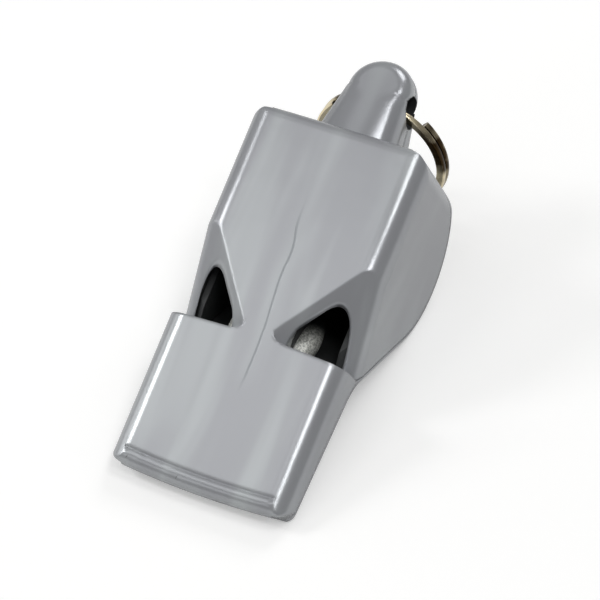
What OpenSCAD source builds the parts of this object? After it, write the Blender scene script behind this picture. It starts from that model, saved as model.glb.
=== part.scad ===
// Three-chamber sports whistle with no ball, lying on a table as it comes to rest.
// Two outer shells meet at a seam round the belly, a moulded core makes the three chambers,
// and a wound split ring hangs in the lug at the back.
// Every piece is drawn in the whistle's own axes: X across, Y from the mouth to the lug, Z up,
// with the flat top face at Z = 0. The last step lays the whole whistle down on the table.

/* [Body] */
// Width over the two side walls
body_w = 22.1; // [19:0.1:26]
// Length of the body from the end of the top face at the mouth to the rear wall
body_l = 41.6; // [38:0.2:47]
// Depth of the belly below the top face
body_h = 19.2; // [17.5:0.1:21]
// Radius of the round belly
belly_r = 10.4; // [9.5:0.1:11]
// Slope of the straight front of the belly, in degrees
belly_slope = 48.75; // [41.25:3.75:52.5]
// Rounding along the two long top edges
top_edge_r = 2.6; // [1:0.1:3.2]
// Rounding where the top face meets the rear wall
rear_edge_r = 1.2; // [0.8:0.1:2.5]
// Rounding of the upright rear corners
rear_corner_r = 2.4; // [1.2:0.1:3.2]
// How far the rear wall bows out in the middle
rear_bow = 0.3; // [0.1:0.1:1]
// Rounding along the edges of the belly and of the mouthpiece's underside
belly_edge_r = 0.8; // [0.3:0.1:1.1]

/* [Mouthpiece] */
// Length of the mouthpiece's top face beside the notches
mouth_l = 15.7; // [14.8:0.1:17]
// How much shorter the mouthpiece is at its sides than beside the neck
mouth_sweep = 0.5; // [0.1:0.1:1]
// Thickness of the mouthpiece at its tip
tip_h = 3.8; // [3.3:0.1:4.5]
// Slope of the mouthpiece's underside, in degrees
underside_slope = 7.5; // [3.75:3.75:11.25]
// Radius of the hollow curve from the mouthpiece into the belly
throat_r = 5; // [2:0.5:8]
// How far the tip bows out in the middle
tip_bow = 0.55; // [0.2:0.05:1]
// How far the rounded lip stands past the groove
lip_l = 1.9; // [1.4:0.1:2.6]
// Height of the lip's front edge below the top face
lip_h = 1.5; // [1.2:0.1:2]
// Thickness of the lip's lower edge
lip_under = 0.35; // [0.2:0.05:0.5]
// Width of the groove behind the lip
groove_w = 0.4; // [0.2:0.05:0.6]
// Rounding of the tip's corners
tip_corner_r = 1.8; // [0.5:0.1:2]
// Width of the slot in the tip
slot_w = 15.8; // [13:0.2:17]
// How far the lower lip is set back behind the groove
lower_setback = 0.4; // [0.2:0.1:1.5]

/* [Shoulder notches] */
// Width that the two notches leave between them on the top face
neck_w = 3.5; // [2.6:0.1:4.6]
// Distance from the back of the mouthpiece to the narrowest place of the neck
neck_setback = 1.4; // [1:0.1:2]
// Length of a notch's sloped shoulder along the side
shoulder_l = 12.4; // [9:0.5:14]
// Depth of a notch at the outside of the side wall
notch_d = 5.7; // [4.4:0.1:6.5]
// Rounding of the edge between a sloped shoulder and the side wall
shoulder_edge_r = 2; // [1:0.1:3]

/* [Walls and chambers] */
// Thickness of the top wall over the side chambers
top_wall = 0.8; // [0.6:0.05:1]
// Thickness of the mouthpiece's top wall
mouth_wall = 1.2; // [1:0.1:1.4]
// Thickness of the side walls
side_wall = 1.8; // [1.3:0.05:2.2]
// Thickness of the rear wall
rear_wall = 1.5; // [1.2:0.1:2]
// Thickness of the belly and of the mouthpiece's underside
belly_wall = 0.9; // [0.7:0.05:1.1]
// Distance from the middle to the inner side of each window
window_in = 3.35; // [3:0.05:3.7]
// Rounding of a side chamber's outer top corner
chamber_outer_r = 3; // [2:0.1:3.3]
// Rounding of a side chamber's inner top corner
chamber_inner_r = 0.8; // [0.3:0.1:1.5]
// Depth of the solid spine under the middle of the top face
spine_h = 2.6; // [2.2:0.1:3.2]
// Thickness of the two dividers of the core
divider_t = 1; // [0.8:0.1:1.2]
// Thickness of the core's outer skirts
skirt_t = 0.7; // [0.5:0.1:0.9]
// Height of each windway
windway_h = 1; // [0.8:0.1:1.2]
// Length of the bottom window
bottom_window_l = 3.2; // [2.4:0.1:4]
// Width of the line between the two shells
seam_gap = 0.06; // [0.04:0.01:0.1]
// Clearance round the core
core_gap = 0.12; // [0.08:0.02:0.2]
// How far the core's edges lie below the sloped shoulders
core_recess = 0.35; // [0.2:0.05:0.6]

/* [Lug] */
// Length of the lug behind the rear wall
lug_l = 11.2; // [10:0.1:13]
// Depth of the lug's middle, where the shells part, below the top face
lug_mid = 8.4; // [7.6:0.1:9]
// Half the lug's width at the rear wall
lug_root_w = 4.95; // [4.4:0.05:6]
// Radius of the lug's nose
lug_nose_r = 3.9; // [3.4:0.1:4.6]
// Depth of the lug's top below the top face, at the rear wall
lug_drop = 4.4; // [3.6:0.1:5]
// Slope of the lug's top and bottom towards the nose, in degrees
lug_slope = 10; // [6:1:13]
// Rounding along the lug's edges
lug_edge_r = 1.8; // [1:0.1:2.2]
// Diameter of the hole for the ring
hole_d = 3.8; // [3.6:0.1:4.2]
// Distance from the end of the nose to the middle of the hole
hole_inset = 5.2; // [4.6:0.1:5.6]

/* [Split ring] */
// Outer diameter of the ring
ring_d = 16.6; // [16:0.2:20]
// Width of the ring's wire, from the inside of the ring to the outside
wire_w = 1.05; // [0.9:0.05:1.2]
// Thickness of the ring's wire along the ring's axis
wire_t = 0.62; // [0.5:0.02:0.75]
// Gap between the two turns
turn_gap = 0.44; // [0.42:0.01:0.6]
// Angle from the top of the ring to each end of the wire, in degrees
end_angle = 44; // [40:1:60]
// Angle to each side of the top over which the wire steps from one turn to the other
step_angle = 26; // [18:1:32]
// Clearance between the hanging ring and the rim of the hole
ring_gap = 0.3; // [0.12:0.01:0.4]

/* [Hidden] */
$fn = 96;

// Overrun of the cuts
over = 1;
// Sides of the wire's rounded section and sections in one full turn
wire_sides = 8;
turn_steps = 44;
// Share of a rounded edge that is cut, up to just before the rounding meets the flat sides
edge_share = 0.9;
// Radius of the lower edges' straight stretches, and how far they lap over the round ones, as
// shares of the round ones' radius
straight_edge_share = 0.95;
edge_lap_share = 0.2;
// Share of the wire's thickness that its rounded corners take
wire_corner_share = 0.3;

// Radius of the round lip, a little over its height, so that it meets the top face at an angle
lip_r_share = 1.02;
lip_r = lip_r_share * lip_h;
// Share of a top edge's rounding that the groove stops short of the side wall
groove_end_share = 0.7;

// Belly: centre of the round part, and where its straight front leaves it
belly_y = body_l - belly_r;
belly_z = -(body_h - belly_r);
// Notch: the neck, the top of the shoulder and its foot
neck_y = mouth_l + neck_setback;
foot_y = mouth_l;
shoulder_y = neck_y + shoulder_l;
// Inside of the side walls
inner_x = body_w / 2 - side_wall;
// Radii that give the bows of the tip and of the rear wall
tip_bow_r = (pow(body_w / 2, 2) + pow(tip_bow, 2)) / (2 * tip_bow);
rear_bow_r = (pow(body_w / 2, 2) + pow(rear_bow, 2)) / (2 * rear_bow);
// Lug: centre of the nose, the hole's middle, and the taper of flanks and thickness
nose_y = body_l + lug_l - lug_nose_r;
hole_y = body_l + lug_l - hole_inset;
lug_taper = asin((lug_root_w - lug_nose_r) / (nose_y - body_l));
// Ring: radii of the wire's middle and of the inside, half the lug's width at the hole,
// and how far the ring's middle hangs below the hole's middle, with its two turns side by side
// on the rim of the hole
ring_r = ring_d / 2 - wire_w / 2;
ring_in_r = ring_d / 2 - wire_w;
lug_half_w = lug_nose_r / cos(lug_taper) + (nose_y - hole_y) * tan(lug_taper);
turn_pitch = wire_t + turn_gap;
pair_w = turn_pitch + wire_t;
ring_drop = sqrt(pow(ring_in_r, 2) - pow(lug_half_w, 2))
    + sqrt(pow(hole_d / 2, 2) - pow(pair_w / 2, 2)) - ring_gap;

// The whistle rests on its belly and on the lower corners of its tip, beside the slot. Its tilt is
// that of the line which touches both
tip_y = tip_bow_r - tip_bow - sqrt(pow(tip_bow_r + lip_l - lip_under, 2) - pow(slot_w / 2, 2));
tip_z = underside_z(tip_y, 0);
rest_reach = norm([belly_y - tip_y, belly_z - tip_z]);
rest_tilt = asin(belly_r / rest_reach) + atan((tip_z - belly_z) / (belly_y - tip_y));
// Rounded lower edge of the lug's nose, which reaches furthest back
nose_half_h = lug_mid - lug_drop - (nose_y - body_l) * tan(lug_slope);
nose_edge_y = nose_y + (lug_nose_r - lug_edge_r) * cos(lug_slope) - lug_edge_r * sin(lug_slope);
nose_edge_z = -lug_mid - nose_half_h + (lug_nose_r - lug_edge_r) * sin(lug_slope)
    + lug_edge_r * cos(lug_slope);
// Lowest and outermost places of the tilted whistle, which put the origin under its middle
floor_z = belly_y * sin(rest_tilt) + belly_z * cos(rest_tilt) - belly_r;
front_y = -(lip_l + tip_bow - lip_r) * cos(rest_tilt) + lip_h * sin(rest_tilt) - lip_r;
back_y = nose_edge_y * cos(rest_tilt) - nose_edge_z * sin(rest_tilt) + lug_edge_r;

// Back end of the mouthpiece at a distance from the middle
function mouth_back(x) = mouth_l + mouth_sweep * (1 - 2 * x / body_w);
// Three places on a sloped shoulder: the neck, its top at the side wall and its foot at the mouth
function shoulder_places() = [
    [neck_w / 2, neck_y, 0], [body_w / 2, shoulder_y, 0], [body_w / 2, foot_y, -notch_d]
];
// Direction that a sloped shoulder faces
function shoulder_normal() = let (
    at = shoulder_places(), normal = cross(at[1] - at[0], at[2] - at[0])
) -normal / norm(normal);
// Height of the underside at a place along the mouthpiece, moved in by a wall
function underside_z(y, inset) = -tip_h + inset / cos(underside_slope) - y * tan(underside_slope);
// Foot of the belly's straight front on the round belly, moved in by a wall
function slope_foot(inset) = [
    belly_y - (belly_r - inset) * sin(belly_slope),
    belly_z - (belly_r - inset) * cos(belly_slope)
];
// Corner between the underside and the belly's straight front, moved in by a wall
function throat_y(inset) = (slope_foot(inset)[1] + slope_foot(inset)[0] * tan(belly_slope)
    - underside_z(0, inset)) / (tan(belly_slope) - tan(underside_slope));
function throat_corner(inset) = [throat_y(inset), underside_z(throat_y(inset), inset)];
// Both ends and the middle of the curve that rounds this corner
function throat_reach(inset) = (throat_r + inset) * tan((belly_slope - underside_slope) / 2);
function throat_front(inset) = throat_corner(inset)
    + throat_reach(inset) * [-cos(underside_slope), sin(underside_slope)];
function throat_back(inset) = throat_corner(inset)
    + throat_reach(inset) * [cos(belly_slope), -sin(belly_slope)];
function throat_middle(inset) = throat_front(inset)
    + (throat_r + inset) * [-sin(underside_slope), -cos(underside_slope)];

// Moves a side view's outline into place: its X is the whistle's Y and its Y is Z
module from_side(width) {
    rotate([90, 0, 90]) linear_extrude(height = width, center = true) children();
}

// Moves a front view's outline into place, from one place along the whistle to another
module from_front(y_start, y_end) {
    translate([0, y_end, 0]) rotate([90, 0, 0]) linear_extrude(height = y_end - y_start) children();
}

// Draws its children on the right side and again, mirrored, on the left side
module both_sides() {
    children();
    mirror([1, 0, 0]) children();
}

// Side view of the whole body without its lug, moved in by a wall at the underside,
// the belly and the rear, and reaching past the mouth
module side_outline(inset) {
    y_mouth = -lip_l - tip_bow - over;
    rear = body_l - inset;
    polygon([
        [y_mouth, 0], [rear - rear_edge_r, 0], [rear, -rear_edge_r], [rear, belly_z],
        [belly_y, belly_z], slope_foot(inset), throat_corner(inset),
        [y_mouth, underside_z(y_mouth, inset)]
    ]);
    translate([rear - rear_edge_r, -rear_edge_r]) circle(r = rear_edge_r);
    intersection() {
        translate([belly_y, belly_z]) circle(r = belly_r - inset);
        translate([0, -body_h]) square([body_l, body_h + belly_z + over]);
    }
    difference() {
        polygon([
            throat_front(inset), throat_corner(inset) + [0, over], throat_back(inset),
            throat_middle(inset)
        ]);
        translate(throat_middle(inset)) circle(r = throat_r + inset);
    }
}

// Waste between a sharp corner and its rounding, with the corner at the origin
module corner_waste(r) {
    cut = edge_share * r;
    difference() {
        translate([-cut, -cut]) square(cut + over);
        translate([-r, -r]) circle(r = r);
    }
}

// Waste along a straight stretch of the lower edge, from a point of the side view towards the mouth.
// It is a little smaller than the round stretches' waste, and laps over it at both ends
module straight_waste(from, slope, long) {
    lap = edge_lap_share * belly_edge_r;
    rotate([90, 0, 90]) translate([from[0], from[1], body_w / 2]) rotate([90, 0, -90 - slope])
        translate([0, 0, -lap]) linear_extrude(height = long + 2 * lap)
            corner_waste(straight_edge_share * belly_edge_r);
}

// Waste that rounds the edge between the right side wall and the belly and underside
module lower_edge_waste() {
    foot = slope_foot(0);
    front = throat_front(0);
    back = throat_back(0);
    translate([body_w / 2, belly_y, belly_z]) rotate([90, 0, 90]) rotate([0, 0, -90 - belly_slope])
        rotate_extrude(angle = 90 + belly_slope) translate([belly_r, 0]) corner_waste(belly_edge_r);
    straight_waste(foot, belly_slope, norm(back - foot));
    translate([body_w / 2, throat_middle(0)[0], throat_middle(0)[1]]) rotate([90, 0, 90])
        rotate([0, 0, 90 - belly_slope]) rotate_extrude(angle = belly_slope - underside_slope)
            translate([throat_r, 0]) mirror([1, 0]) corner_waste(belly_edge_r);
    straight_waste(front, underside_slope, 2 * mouth_l);
}

// Plan view of the body: bowed ends and rounded corners
module plan_outline() {
    half = body_w / 2;
    y_tip = -lip_l;
    intersection() {
        translate([0, body_l - rear_bow_r]) circle(r = rear_bow_r, $fn = 360);
        union() {
            translate([-half, 0]) square([body_w, body_l - rear_corner_r - rear_bow]);
            translate([-half + rear_corner_r, 0]) square([body_w - 2 * rear_corner_r, body_l]);
            for (side = [-1, 1]) {
                translate([side * (half - rear_corner_r), body_l - rear_corner_r - rear_bow])
                    circle(r = rear_corner_r);
                translate([side * (half - tip_corner_r), y_tip + tip_corner_r])
                    circle(r = tip_corner_r);
            }
            translate([-half, y_tip + tip_corner_r]) square([body_w, over - y_tip]);
            translate([-half + tip_corner_r, y_tip - tip_bow - over])
                square([body_w - 2 * tip_corner_r, 2 * over + tip_bow - y_tip]);
        }
    }
}

// Front view of the body: square below, with rounded top edges
module front_outline() {
    half = body_w / 2;
    translate([-half, -body_h - over]) square([body_w, body_h + over - top_edge_r]);
    translate([-half + top_edge_r, -body_h - over]) square([body_w - 2 * top_edge_r, body_h + over + over]);
    for (side = [-1, 1])
        translate([side * (half - top_edge_r), -top_edge_r]) circle(r = top_edge_r);
}

// Everything behind the bowed front: the round lip and the upright corners under it
module behind_front() {
    front = tip_bow_r + lip_l;
    middle = front - lip_r;
    translate([0, tip_bow_r - tip_bow, 0]) rotate_extrude($fn = 360) {
        polygon([
            [0, -body_h - over], [front - lip_under, -body_h - over],
            [front - lip_under, -lip_h - lip_under], [front, -lip_h],
            [middle, lip_r / 2 - lip_h], [middle, over], [0, over]
        ]);
        intersection() {
            translate([middle, -lip_h]) circle(r = lip_r);
            translate([middle - lip_r, -lip_h]) square([2 * lip_r, lip_r + over]);
        }
    }
}

// Groove behind the lip, which runs out on the two rounded top edges
module groove() {
    half_angle = asin((body_w / 2 - groove_end_share * top_edge_r) / tip_bow_r);
    translate([0, tip_bow_r - tip_bow, 0]) rotate([0, 0, -90 - half_angle])
        rotate_extrude(angle = 2 * half_angle, $fn = 360) translate([tip_bow_r, 0]) circle(d = groove_w, $fn = 24);
}

// The body's full outer form, solid, with no notch and no lug
module body_form() {
    intersection() {
        from_side(body_w + over) side_outline(0);
        translate([0, 0, -body_h - over]) linear_extrude(height = body_h + 2 * over) plan_outline();
        from_front(-lip_l - tip_bow - over, body_l + over) front_outline();
        behind_front();
    }
}

// The body's full outer form with its lower edges and the edges of its shoulders rounded
module rounded_body() {
    difference() {
        body_form();
        both_sides() {
            lower_edge_waste();
            notch_edge();
        }
    }
}

// Space over one sloped shoulder, moved in by a distance
module over_shoulder(inset) {
    neck = shoulder_places()[0];
    out = shoulder_normal();
    size = 3 * body_w;
    tilt = acos(out[2]);
    turn = atan2(out[1], out[0]);
    translate(neck - inset * out) rotate([0, tilt, turn])
        translate([-size / 2, -size / 2, 0]) cube(size);
}

// Waste that rounds the edge between a sloped shoulder and the side wall. It reaches a little less
// far than the rounding, and past the edge's two ends
module shoulder_edge_waste() {
    top = shoulder_places()[1];
    along = shoulder_places()[2] - top;
    turn = acos(shoulder_normal()[0]);
    reach = shoulder_edge_r * tan(turn / 2);
    middle = [-shoulder_edge_r, -reach];
    far = middle + shoulder_edge_r * [cos(turn), sin(turn)];
    translate(top) rotate([90 + atan2(-along[2], -along[1]), 0, 0]) translate([0, 0, -reach])
        linear_extrude(height = norm(along) + 2 * reach) difference() {
            polygon([
                middle, [over, -edge_share * reach], over * [1, tan(turn / 2)],
                edge_share * far + over * [cos(turn), sin(turn)]
            ]);
            translate(middle) circle(r = shoulder_edge_r);
        }
}

// Plan view of the space behind one side of the mouthpiece, moved in by a distance, with a rounded
// corner beside the neck
module behind_mouth(inset) {
    inner = neck_w / 2 + inset;
    half = body_w / 2 + over;
    difference() {
        polygon([
            [inner, mouth_back(inner)], [half, mouth_back(half)], [half, body_l], [inner, body_l]
        ]);
        translate([inner, mouth_back(inner + neck_setback)]) difference() {
            translate([-over, -over]) square(neck_setback + over);
            translate([neck_setback, neck_setback]) circle(r = neck_setback);
        }
    }
}

// Waste of one shoulder's rounded edge, which ends at the back of the mouthpiece
module notch_edge() {
    intersection() {
        shoulder_edge_waste();
        translate([0, 0, -body_h]) linear_extrude(height = body_h + over) behind_mouth(0);
    }
}

// One shoulder notch, moved in by a distance
module notch(inset) {
    intersection() {
        over_shoulder(inset);
        translate([0, 0, -body_h]) linear_extrude(height = body_h + over) behind_mouth(inset);
    }
}

// Front view of one side chamber, open downward
module chamber_outline() {
    difference() {
        translate([window_in, -body_h - over]) square([inner_x - window_in, body_h + over - top_wall]);
        translate([inner_x - chamber_outer_r, -top_wall - chamber_outer_r])
            difference() {
                square(chamber_outer_r + over);
                circle(r = chamber_outer_r);
            }
        translate([window_in - over, -top_wall - chamber_inner_r]) difference() {
            square(chamber_inner_r + over);
            translate([chamber_inner_r + over, 0]) circle(r = chamber_inner_r);
        }
    }
}

// The hollow inside the upper shell
module upper_hollow() {
    y_rear = body_l - rear_wall;
    both_sides() from_front(mouth_l - over, y_rear) chamber_outline();
    translate([-window_in - core_gap, mouth_l - over, -body_h - over])
        cube([2 * (window_in + core_gap), y_rear - mouth_l + over, body_h + over - spine_h]);
    translate([-inner_x, mouth_wall, -body_h - over])
        cube([2 * inner_x, mouth_l - mouth_wall, body_h + over - mouth_wall]);
    from_front(-lip_l - tip_bow - over, mouth_l / 2) slot_outline();
}

// Front view of the slot in the tip, open downward, with rounded top corners
module slot_outline() {
    top = -lip_h - lip_under;
    corner_r = 2 * lip_under;
    translate([-slot_w / 2, -body_h]) square([slot_w, body_h + top - corner_r]);
    translate([-slot_w / 2 + corner_r, -body_h]) square([slot_w - 2 * corner_r, body_h + top]);
    for (side = [-1, 1])
        translate([side * (slot_w / 2 - corner_r), top - corner_r]) circle(r = corner_r);
}

// Section of the lug's upper half, out from its middle plane, with a rounded outer edge. It
// reaches past the other flank
module lug_section(flank) {
    high = (lug_mid - lug_drop) * cos(lug_slope);
    translate([-body_w, -body_h]) square([body_w + flank, body_h + high - lug_edge_r]);
    translate([-body_w, -body_h]) square([body_w + flank - lug_edge_r, body_h + high]);
    translate([flank - lug_edge_r, high - lug_edge_r]) circle(r = lug_edge_r);
}

// Upper half of the lug, with its middle plane at Z = 0 and its root inside the rear wall
module lug_half() {
    root = rear_wall / 2;
    y_start = body_l - root;
    high = lug_mid - lug_drop;
    intersection() {
        union() {
            intersection_for(side = [0, 1]) {
                mirror([side, 0, 0]) translate([0, body_l, 0]) rotate([-lug_slope, 0, 0])
                    translate([lug_root_w * cos(lug_taper), 0, 0]) rotate([0, 0, lug_taper])
                        translate([0, nose_y - body_l, 0]) rotate([90, 0, 0])
                            linear_extrude(height = nose_y - body_l + 2 * rear_wall) lug_section(0);
            }
            lug_nose(nose_half_h);
        }
        translate([-body_w / 2, y_start, 0]) cube([body_w, body_l, lug_mid]);
    }
}

// Rounded nose of the lug
module lug_nose(high) {
    translate([0, nose_y, high]) rotate([-lug_slope, 0, 0]) rotate_extrude() {
        translate([0, -body_h]) square([lug_nose_r, body_h - lug_edge_r]);
        translate([0, -body_h]) square([lug_nose_r - lug_edge_r, body_h]);
        translate([lug_nose_r - lug_edge_r, -lug_edge_r]) circle(r = lug_edge_r);
    }
}

// Hole through the lug for the ring
module lug_hole() {
    translate([-body_w / 2, hole_y, -lug_mid]) rotate([0, 90, 0]) cylinder(d = hole_d, h = body_w);
}

// Side view of the space over the seam, which runs inside the belly and the underside and
// through the middle of the lug
module over_seam(inset, drop) {
    side_outline(inset);
    translate([belly_y, -lug_mid - drop]) square([body_l + lug_l, lug_mid + drop + over]);
}

// Side view of the space under the seam
module under_seam(inset) {
    difference() {
        translate([-body_l, -2 * body_h]) square([3 * body_l, 2 * body_h]);
        over_seam(inset, 0);
    }
}

module upper_shell() {
    color("#b4babd") difference() {
        union() {
            difference() {
                rounded_body();
                upper_hollow();
                both_sides() notch(0);
            }
            translate([0, 0, -lug_mid]) lug_half();
        }
        from_side(2 * body_w) under_seam(belly_wall + seam_gap);
        lug_hole();
        groove();
    }
}

module lower_shell() {
    color("#a9aeb0") difference() {
        union() {
            rounded_body();
            translate([0, 0, -lug_mid]) mirror([0, 0, 1]) lug_half();
        }
        from_side(2 * body_w) over_seam(belly_wall, seam_gap);
        lug_hole();
        bottom_window();
        lower_front();
    }
}

// Space in front of the lower lip, which is set back under the upper one
module lower_front() {
    difference() {
        translate([-slot_w / 2, -body_w, -body_h]) cube([slot_w, body_w + mouth_l / 2, body_h]);
        translate([0, tip_bow_r - tip_bow + lower_setback, -body_h - over])
            cylinder(r = tip_bow_r, h = body_h + 2 * over, $fn = 360);
    }
}

// Window of the middle chamber, through the underside where the throat begins
module bottom_window() {
    y_front = throat_y(0) - bottom_window_l / 2;
    half = window_in - divider_t;
    translate([-half, y_front, -body_h]) cube([2 * half, bottom_window_l, body_h]);
}

// Side view of a divider of the core, inside the belly with a clearance
module divider_outline() {
    y_rear = body_l - rear_wall - core_gap;
    y_front = 2 * mouth_wall;
    mouth_space = mouth_l - core_gap - y_front;
    intersection() {
        side_outline(belly_wall + core_gap);
        union() {
            translate([y_front, -body_h]) square([mouth_space, body_h - mouth_wall - core_gap]);
            translate([mouth_l - over, -body_h])
                square([y_rear - mouth_l + over, body_h - spine_h - core_gap]);
        }
    }
}

// Side view of a ramp under a side windway
module ramp_outline() {
    intersection() {
        side_outline(belly_wall + core_gap);
        translate([2 * mouth_wall, -body_h])
            square([mouth_l - 3 * mouth_wall, body_h - mouth_wall - windway_h]);
    }
}

// Side view of the roof over the middle windway
module roof_outline() {
    y_front = 3 * mouth_wall;
    y_step = mouth_l - core_gap;
    y_rear = throat_y(0) - bottom_window_l / 2;
    top = -mouth_wall - core_gap;
    polygon([
        [y_front, top], [y_step, top], [y_step, -spine_h - mouth_wall],
        [y_rear, underside_z(y_rear, belly_wall) + windway_h],
        [y_front, top - core_gap]
    ]);
}

// Side view of a skirt of the core, which lies against the side wall
module skirt_outline() {
    y_rear = body_l - rear_wall - core_gap;
    intersection() {
        side_outline(belly_wall + core_gap);
        union() {
            translate([2 * mouth_wall, -body_h])
                square([mouth_l - 3 * mouth_wall, body_h - mouth_wall - windway_h]);
            translate([mouth_l - 2 * mouth_wall, -body_h])
                square([y_rear - mouth_l + 2 * mouth_wall, body_h - top_wall - chamber_outer_r]);
        }
    }
}

module chamber_insert() {
    channel_w = inner_x - core_gap - window_in;
    color("#8f9496") difference() {
        union() {
            both_sides() {
                translate([window_in - divider_t / 2, 0, 0]) from_side(divider_t) divider_outline();
                translate([window_in + channel_w / 2 - divider_t / 4, 0, 0])
                    from_side(channel_w + divider_t / 2) ramp_outline();
                translate([inner_x - core_gap - skirt_t / 2, 0, 0]) from_side(skirt_t) skirt_outline();
            }
            from_side(2 * window_in - divider_t) roof_outline();
        }
        both_sides() notch(core_recess);
    }
}

// Places along the ring's wire, as [angle from the top, place along the ring's axis]
wire_angle = 720 - 2 * end_angle;
wire_steps = round(turn_steps * wire_angle / 360);
function wire_turn(i) = end_angle + wire_angle * i / wire_steps;
function wire_side(angle) = let (part = (angle - 360) / step_angle)
    abs(part) >= 1 ? sign(part) * turn_pitch / 2 : turn_pitch / 2 * sin(90 * part);
// Corners of the wire's section, as [outward, along the axis]
wire_corner = wire_t * wire_corner_share;
wire_section = [
    [wire_w / 2, wire_t / 2 - wire_corner], [wire_w / 2 - wire_corner, wire_t / 2],
    [wire_corner - wire_w / 2, wire_t / 2], [-wire_w / 2, wire_t / 2 - wire_corner],
    [-wire_w / 2, wire_corner - wire_t / 2], [wire_corner - wire_w / 2, -wire_t / 2],
    [wire_w / 2 - wire_corner, -wire_t / 2], [wire_w / 2, wire_corner - wire_t / 2]
];
function wire_point(i, k) = let (angle = wire_turn(i), out = ring_r + wire_section[k][0])
    [out * sin(angle), wire_side(angle) + wire_section[k][1], out * cos(angle)];
wire_points = [for (i = [0:wire_steps]) for (k = [0:wire_sides - 1]) wire_point(i, k)];
wire_sides_faces = [for (i = [0:wire_steps - 1]) for (k = [0:wire_sides - 1])
    each let (a = i * wire_sides + k, b = i * wire_sides + (k + 1) % wire_sides)
        [[a, b, b + wire_sides], [a, b + wire_sides, a + wire_sides]]];
wire_start_faces = [for (k = [1:wire_sides - 2]) [0, k + 1, k]];
wire_end_faces = [for (k = [1:wire_sides - 2])
    [for (m = [0, k, k + 1]) wire_steps * wire_sides + m]];
// Least gap between one turn and the next, measured on the points of the wire
turn_clearance = min([for (i = [0:wire_steps - turn_steps]) for (k = [0:wire_sides - 1])
    for (m = [0:wire_sides - 1])
        norm(wire_points[i * wire_sides + k] - wire_points[(i + turn_steps) * wire_sides + m])]);

module split_ring() {
    echo(least_gap_between_turns = turn_clearance, rest_tilt = rest_tilt,
        hinge = [0, hole_y * cos(rest_tilt) + lug_mid * sin(rest_tilt) - (front_y + back_y) / 2,
            hole_y * sin(rest_tilt) - lug_mid * cos(rest_tilt) - floor_z]);
    color("#8a7f68") translate([0, hole_y, -lug_mid]) rotate([-rest_tilt, 0, 0])
        translate([0, 0, -ring_drop])
            polyhedron(points = wire_points, faces = concat(wire_sides_faces, wire_start_faces, wire_end_faces));
}

// Lays the whistle on the table, with the origin on the table under its middle
module at_rest() {
    translate([0, -(front_y + back_y) / 2, -floor_z]) rotate([rest_tilt, 0, 0]) children();
}

at_rest() upper_shell();
at_rest() lower_shell();
at_rest() chamber_insert();
at_rest() split_ring();
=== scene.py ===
"""Silver-grey pealess sports whistle with a split ring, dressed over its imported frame."""

from __future__ import annotations

import logging
import math
from dataclasses import dataclass
from enum import Enum
from typing import Any, Optional

import bmesh
import bpy
from mathutils import Matrix, Vector


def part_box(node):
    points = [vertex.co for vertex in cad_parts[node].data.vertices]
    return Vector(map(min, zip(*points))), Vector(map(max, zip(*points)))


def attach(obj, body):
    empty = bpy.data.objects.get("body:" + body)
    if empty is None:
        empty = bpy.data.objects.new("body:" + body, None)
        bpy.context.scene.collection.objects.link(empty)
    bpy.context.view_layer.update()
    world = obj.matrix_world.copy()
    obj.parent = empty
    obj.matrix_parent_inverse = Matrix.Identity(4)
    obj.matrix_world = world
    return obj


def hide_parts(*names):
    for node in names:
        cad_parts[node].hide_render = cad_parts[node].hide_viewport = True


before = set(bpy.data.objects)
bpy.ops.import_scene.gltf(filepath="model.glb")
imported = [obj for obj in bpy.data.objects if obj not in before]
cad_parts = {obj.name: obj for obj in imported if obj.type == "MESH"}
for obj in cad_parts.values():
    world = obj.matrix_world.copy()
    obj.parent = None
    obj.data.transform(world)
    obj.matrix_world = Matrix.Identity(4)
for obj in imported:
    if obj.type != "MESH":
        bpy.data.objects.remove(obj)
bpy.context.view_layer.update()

LOG = logging.getLogger("whistle")
MM = 0.001
ABS_IOR = 1.54


class Body(Enum):
    """Bodies that a piece can ride on."""

    WHISTLE = "whistle"
    RING = "ring"


class Slot(Enum):
    """Material slots of the record."""

    SHELL = "shell"
    CORE = "core"
    RING = "ring"


def linear(hex_colour: str) -> tuple[float, float, float, float]:
    """Turns an sRGB hex colour into linear RGBA.

    Args:
        hex_colour: Six hex digits with a leading hash.

    Returns:
        Linear red, green, blue and an alpha of one.
    """
    digits = hex_colour.lstrip("#")
    values = [int(digits[i : i + 2], 16) / 255 for i in (0, 2, 4)]
    flat = [v / 12.92 if v <= 0.04045 else ((v + 0.055) / 1.055) ** 2.4 for v in values]
    return (flat[0], flat[1], flat[2], 1.0)


def per_mm(size_mm: float) -> float:
    """Gives the pattern scale at which one cell is that many millimetres wide."""
    return 1.0 / (size_mm * MM)


def add_node(
    tree: bpy.types.NodeTree,
    kind: str,
    inputs: Optional[dict[Any, Any]] = None,
    **settings: Any,
) -> bpy.types.Node:
    """Adds a node with its settings, its input values and its incoming links.

    Args:
        tree: Node tree that receives the node.
        kind: Blender's identifier of the node type.
        inputs: For each input, by socket name or index, its value or the socket that feeds it.
        **settings: Properties of the node itself.

    Returns:
        The new node.
    """
    node = tree.nodes.new(kind)
    for name, value in settings.items():
        setattr(node, name, value)
    for key, value in (inputs or {}).items():
        if isinstance(value, bpy.types.NodeSocket):
            tree.links.new(value, node.inputs[key])
        else:
            node.inputs[key].default_value = value
    return node


def new_material(name: str) -> tuple[bpy.types.Material, bpy.types.NodeTree]:
    """Makes an empty node material.

    Args:
        name: Name of the finish.

    Returns:
        The material and its empty node tree.
    """
    material = bpy.data.materials.new(name)
    material.use_nodes = True
    material.node_tree.nodes.clear()
    return material, material.node_tree


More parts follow.
